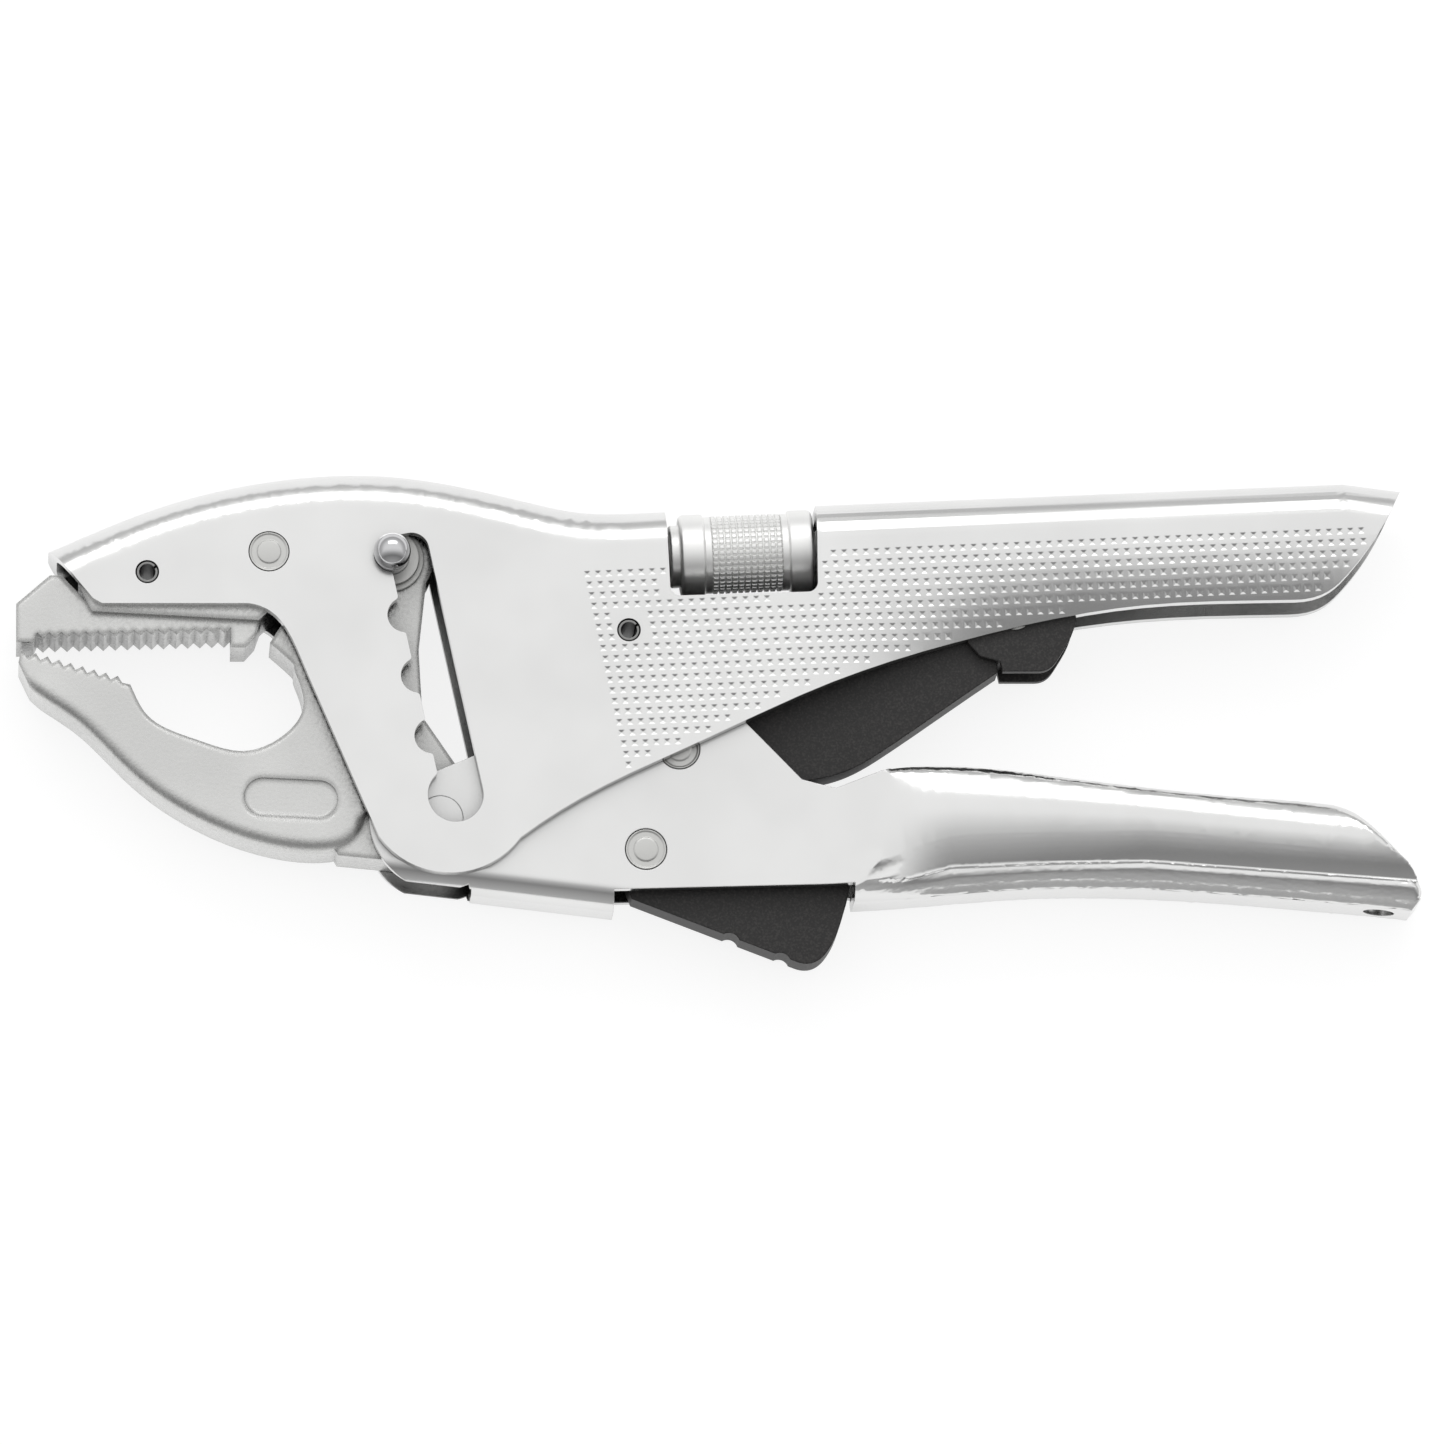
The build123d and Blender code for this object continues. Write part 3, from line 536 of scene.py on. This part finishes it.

# %% [markdown]
# ## Finishes
# Every finish is one Principled shader. Fine noise in Object coordinates moves the roughness and a
# small bump, broad noise drifts the colour a little, and a Bevel node softens the sharp edges that
# catch the light. An occlusion node paints shade into the colour: inside slots, bores and channels, and
# beside other parts, the base colour is darkened as painted shade. Numbers that are the same all over
# sit on the shader's own sockets.

# %% A plated or bare steel
def steel(name, tint, rough, rough_drift, grain, relief, tone_drift=0.03, edge=0.25, painted_shade_floor=0.35):
    finish = bpy.data.materials.new(name)
    finish.use_nodes = True
    tree = finish.node_tree
    shader = tree.nodes["Principled BSDF"]
    shader.inputs["Metallic"].default_value = 1.0
    coords = tree.nodes.new("ShaderNodeTexCoord")
    fine = tree.nodes.new("ShaderNodeTexNoise")
    fine.inputs["Scale"].default_value = grain
    fine.inputs["Detail"].default_value = 4.0
    tree.links.new(coords.outputs["Object"], fine.inputs["Vector"])
    broad = tree.nodes.new("ShaderNodeTexNoise")
    broad.inputs["Scale"].default_value = 45.0
    broad.inputs["Detail"].default_value = 3.0
    tree.links.new(coords.outputs["Object"], broad.inputs["Vector"])
    spread = tree.nodes.new("ShaderNodeMapRange")
    spread.inputs["From Min"].default_value = 0.3
    spread.inputs["From Max"].default_value = 0.7
    spread.inputs["To Min"].default_value = rough - rough_drift
    spread.inputs["To Max"].default_value = rough + rough_drift
    tree.links.new(fine.outputs["Fac"], spread.inputs["Value"])
    tree.links.new(spread.outputs["Result"], shader.inputs["Roughness"])
    tone = tree.nodes.new("ShaderNodeValToRGB")
    tone.color_ramp.elements[0].position = 0.35
    tone.color_ramp.elements[1].position = 0.65
    tone.color_ramp.elements[0].color = [c * (1 - tone_drift) for c in tint] + [1]
    tone.color_ramp.elements[1].color = [min(1.0, c * (1 + tone_drift)) for c in tint] + [1]
    tree.links.new(broad.outputs["Fac"], tone.inputs["Fac"])
    # Painted shade: the base colour is darkened where the occlusion node finds nearby surfaces, down to the
    # floor given for each finish.
    painted_recess_shade = tree.nodes.new("ShaderNodeAmbientOcclusion")
    painted_recess_shade.samples = 4
    painted_recess_shade.inputs["Distance"].default_value = 20.0 * MM
    shaded = tree.nodes.new("ShaderNodeMapRange")
    shaded.inputs["From Min"].default_value = 0.15
    shaded.inputs["From Max"].default_value = 0.8
    shaded.inputs["To Min"].default_value = painted_shade_floor
    shaded.inputs["To Max"].default_value = 1.0
    tree.links.new(painted_recess_shade.outputs["AO"], shaded.inputs["Value"])
    shade_into_colour = tree.nodes.new("ShaderNodeMix")
    shade_into_colour.data_type = "RGBA"
    shade_into_colour.blend_type = "MULTIPLY"
    shade_into_colour.inputs["Factor"].default_value = 1.0
    tree.links.new(tone.outputs["Color"], shade_into_colour.inputs["A"])
    tree.links.new(shaded.outputs["Result"], shade_into_colour.inputs["B"])
    tree.links.new(shade_into_colour.outputs["Result"], shader.inputs["Base Color"])
    rounded = tree.nodes.new("ShaderNodeBevel")
    rounded.samples = 4
    rounded.inputs["Radius"].default_value = edge * MM
    bump = tree.nodes.new("ShaderNodeBump")
    bump.inputs["Strength"].default_value = relief
    bump.inputs["Distance"].default_value = 0.05 * MM
    tree.links.new(fine.outputs["Fac"], bump.inputs["Height"])
    tree.links.new(rounded.outputs["Normal"], bump.inputs["Normal"])
    tree.links.new(bump.outputs["Normal"], shader.inputs["Normal"])
    return finish


finishes = {
    "nickel_plate": steel("satin_nickel", (0.78, 0.78, 0.775), 0.22, 0.02, 2600, 0.02, edge=0.08),
    "lever_plate": steel("bright_nickel", (0.77, 0.77, 0.765), 0.17, 0.02, 1800, 0.01),
    "forged_jaw": steel(
        "blasted_forging", (0.66, 0.66, 0.65), 0.28, 0.10, 1700, 0.8, tone_drift=0.06, edge=1.5,
    ),
    "rivet_steel": steel("rivet_satin", (0.60, 0.60, 0.585), 0.33, 0.05, 3000, 0.06),
    "polished_pin": steel("polished_ball", (0.60, 0.60, 0.61), 0.10, 0.02, 1200, 0.0),
    "nut_steel": steel("turned_nut", (0.88, 0.88, 0.87), 0.46, 0.03, 2600, 0.02, painted_shade_floor=1.0),
    # The spring wire's painted shade goes nearly to black inside bores and between coils.
    "spring_wire": steel("spring_wire", (0.30, 0.30, 0.295), 0.32, 0.05, 2600, 0.05, painted_shade_floor=0.04),
}
print("steel finishes", len(finishes))

# %% [markdown]
# The link, the yoke and the trigger are stamped from plate and blackened. The coating is a crystal
# layer, nearly black, dull, with fine lighter specks. It is not a metal to the eye, so the shader is a
# dark dielectric; a ramp on fine noise picks out the specks.

# %% The blackened plate
def blackened(name, dark, speck, rough):
    finish = bpy.data.materials.new(name)
    finish.use_nodes = True
    tree = finish.node_tree
    shader = tree.nodes["Principled BSDF"]
    shader.inputs["Metallic"].default_value = 0.0
    shader.inputs["Specular IOR Level"].default_value = 0.38
    coords = tree.nodes.new("ShaderNodeTexCoord")
    crystals = tree.nodes.new("ShaderNodeTexNoise")
    crystals.inputs["Scale"].default_value = 2600.0
    crystals.inputs["Detail"].default_value = 5.0
    tree.links.new(coords.outputs["Object"], crystals.inputs["Vector"])
    ramp = tree.nodes.new("ShaderNodeValToRGB")
    ramp.color_ramp.elements[0].position = 0.45
    ramp.color_ramp.elements[1].position = 0.75
    ramp.color_ramp.elements[0].color = (*dark, 1)
    ramp.color_ramp.elements[1].color = (*speck, 1)
    tree.links.new(crystals.outputs["Fac"], ramp.inputs["Fac"])
    tree.links.new(ramp.outputs["Color"], shader.inputs["Base Color"])
    spread = tree.nodes.new("ShaderNodeMapRange")
    spread.inputs["To Min"].default_value = rough - 0.12
    spread.inputs["To Max"].default_value = rough + 0.12
    tree.links.new(crystals.outputs["Fac"], spread.inputs["Value"])
    tree.links.new(spread.outputs["Result"], shader.inputs["Roughness"])
    rounded = tree.nodes.new("ShaderNodeBevel")
    rounded.samples = 4
    rounded.inputs["Radius"].default_value = 0.4 * MM
    bump = tree.nodes.new("ShaderNodeBump")
    bump.inputs["Strength"].default_value = 0.25
    bump.inputs["Distance"].default_value = 0.05 * MM
    tree.links.new(crystals.outputs["Fac"], bump.inputs["Height"])
    tree.links.new(rounded.outputs["Normal"], bump.inputs["Normal"])
    tree.links.new(bump.outputs["Normal"], shader.inputs["Normal"])
    return finish


finishes["black_steel"] = blackened("black_phosphate", (0.020, 0.019, 0.019), (0.055, 0.052, 0.050), 0.50)
print("all finishes", sorted(finishes))

# %% [markdown]
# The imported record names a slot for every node, and every new piece has been given one, so the slot
# picks the finish. One rivet differs: its end shows through the opening in the body, ground flush and
# plated with the lever.

# %% Give every piece its finish
slot_of = {row["node"]: row["material_slot"] for row in frame["record"]["subparts"]}
for node, thing in frame["nodes"].items():
    thing.data.materials.clear()
    thing.data.materials.append(finishes[slot_of[node]])
frame["nodes"]["jaw_handle_rivet"].data.materials[0] = finishes["lever_plate"]
for thing in bpy.data.objects:
    if "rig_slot" in thing:
        thing.data.materials.clear()
        thing.data.materials.append(finishes[thing["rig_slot"]])
print("dressed", len(slot_of), "nodes")

# %% [markdown]
# ## Table, light and camera
# Bright steel shows the room, so the room matters more than the lamps. The world is a soft dome: white
# overhead, grey at the horizon, darker on the near side. One wide lamp from behind adds the bright
# lines on the upper edges. The table is white and still takes a faint shadow. Its glow is there for the
# camera and for reflections only, so it adds no light of its own to dull surfaces.

# %% The table
table_half, table_grey, table_glow = 6.0, 0.26, 0.84
table_bm = bmesh.new()
bmesh.ops.create_grid(table_bm, x_segments=1, y_segments=1, size=table_half)
table = bpy.data.objects.new("table", to_mesh(table_bm, "table"))
bpy.context.scene.collection.objects.link(table)
white = bpy.data.materials.new("white_table")
white.use_nodes = True
tree = white.node_tree
tree.nodes.remove(tree.nodes["Principled BSDF"])
shade = tree.nodes.new("ShaderNodeBsdfDiffuse")
shade.inputs["Color"].default_value = (table_grey, table_grey, table_grey, 1)
path = tree.nodes.new("ShaderNodeLightPath")
seen = tree.nodes.new("ShaderNodeMath")
seen.operation = "MAXIMUM"
tree.links.new(path.outputs["Is Camera Ray"], seen.inputs[0])
tree.links.new(path.outputs["Is Glossy Ray"], seen.inputs[1])
through = tree.nodes.new("ShaderNodeMath")
through.operation = "MAXIMUM"
tree.links.new(seen.outputs[0], through.inputs[0])
tree.links.new(path.outputs["Is Transmission Ray"], through.inputs[1])
strength = tree.nodes.new("ShaderNodeMath")
strength.operation = "MULTIPLY"
strength.inputs[1].default_value = table_glow
tree.links.new(through.outputs[0], strength.inputs[0])
glow = tree.nodes.new("ShaderNodeEmission")
tree.links.new(strength.outputs[0], glow.inputs["Strength"])
both = tree.nodes.new("ShaderNodeAddShader")
tree.links.new(shade.outputs[0], both.inputs[0])
tree.links.new(glow.outputs[0], both.inputs[1])
tree.links.new(both.outputs[0], tree.nodes["Material Output"].inputs["Surface"])
table.data.materials.append(white)
print("table shade", table_grey, "glow", table_glow)

# %% [markdown]
# A photo studio hangs white cloth over the tool and leaves its near side open. The dome copies that with
# two ramps of brightness, one on height and one from the near side to the far side. In every direction
# it keeps the darker of the two.

# %% The dome of light
world = bpy.data.worlds.new("studio_dome")
bpy.context.scene.world = world
world.use_nodes = True
tree = world.node_tree
coords = tree.nodes.new("ShaderNodeTexCoord")
direction = tree.nodes.new("ShaderNodeSeparateXYZ")
tree.links.new(coords.outputs["Generated"], direction.inputs["Vector"])


def light_ramp(stops):
    ramp = tree.nodes.new("ShaderNodeValToRGB")
    marks = ramp.color_ramp.elements
    marks.remove(marks[1])
    for n, (place, level) in enumerate(stops):
        mark = marks[0] if n == 0 else marks.new(place)
        mark.position = place
        mark.color = (level, level, level, 1)
    return ramp


height = light_ramp([(0.0, 0.50), (0.30, 0.60), (0.60, 0.95), (0.85, 1.0)])
tree.links.new(direction.outputs["Z"], height.inputs["Fac"])
half = tree.nodes.new("ShaderNodeMath")
half.operation = "MULTIPLY_ADD"
half.inputs[1].default_value = 0.5
half.inputs[2].default_value = 0.5
tree.links.new(direction.outputs["Y"], half.inputs[0])
side = light_ramp(
    [(0.0, 0.46), (0.08, 0.36), (0.20, 0.24), (0.33, 0.50), (0.43, 0.78), (0.53, 0.96), (0.60, 1.0)]
)
tree.links.new(half.outputs[0], side.inputs["Fac"])
lower = tree.nodes.new("ShaderNodeMix")
lower.data_type = "RGBA"
lower.blend_type = "DARKEN"
lower.inputs["Factor"].default_value = 1.0
tree.links.new(height.outputs["Color"], lower.inputs["A"])
tree.links.new(side.outputs["Color"], lower.inputs["B"])
tree.links.new(lower.outputs["Result"], tree.nodes["Background"].inputs["Color"])
print("dome marks", len(height.color_ramp.elements), "by height,", len(side.color_ramp.elements), "by side")

# %% [markdown]
# A wide soft box stands behind the tool. Its reflection is the bright line along the folded upper edge.
# It stays weak beside the dome, because the dome gives the cheeks their tone.

# %% The lamp behind the tool
lamp = bpy.data.lights.new("rear_softbox", "AREA")
lamp.shape = "RECTANGLE"
lamp.size, lamp.size_y = 1.6, 0.7
lamp.energy = 4.8
rear = bpy.data.objects.new("rear_softbox", lamp)
rear.location = (0.0, 1.3, 1.2)
rear.rotation_euler = (Vector((0, 0, 0)) - rear.location).to_track_quat("-Z", "Y").to_euler()
bpy.context.scene.collection.objects.link(rear)
print("lamp", lamp.energy, "W")

# %% [markdown]
# The photograph looks almost straight down on the cheek, from a little below the tool. A long lens far
# away gives its nearly parallel lines. The camera's three axes are written out, so that it can't roll.

# %% The camera
aim = Vector((0.43, -1.96, 21.0)) * MM
back = Vector((-0.053, -0.1985, 0.980)).normalized()
right = (Vector((1, 0, 0)) - back * back.x).normalized()
up = back.cross(right)
distance = 2.5
frame_width = 256.2 * MM
lens = bpy.data.cameras.new("long_lens")
lens.sensor_width = 36.0
lens.lens = lens.sensor_width * distance / frame_width
lens.clip_end = 50.0
camera = bpy.data.objects.new("camera", lens)
stance = Matrix((right, up, back)).transposed().to_4x4()
camera.matrix_world = Matrix.Translation(aim + back * distance) @ stance
bpy.context.scene.collection.objects.link(camera)
bpy.context.scene.camera = camera
bpy.context.scene.view_settings.view_transform = "Standard"
print("lens", round(lens.lens, 1), "mm")
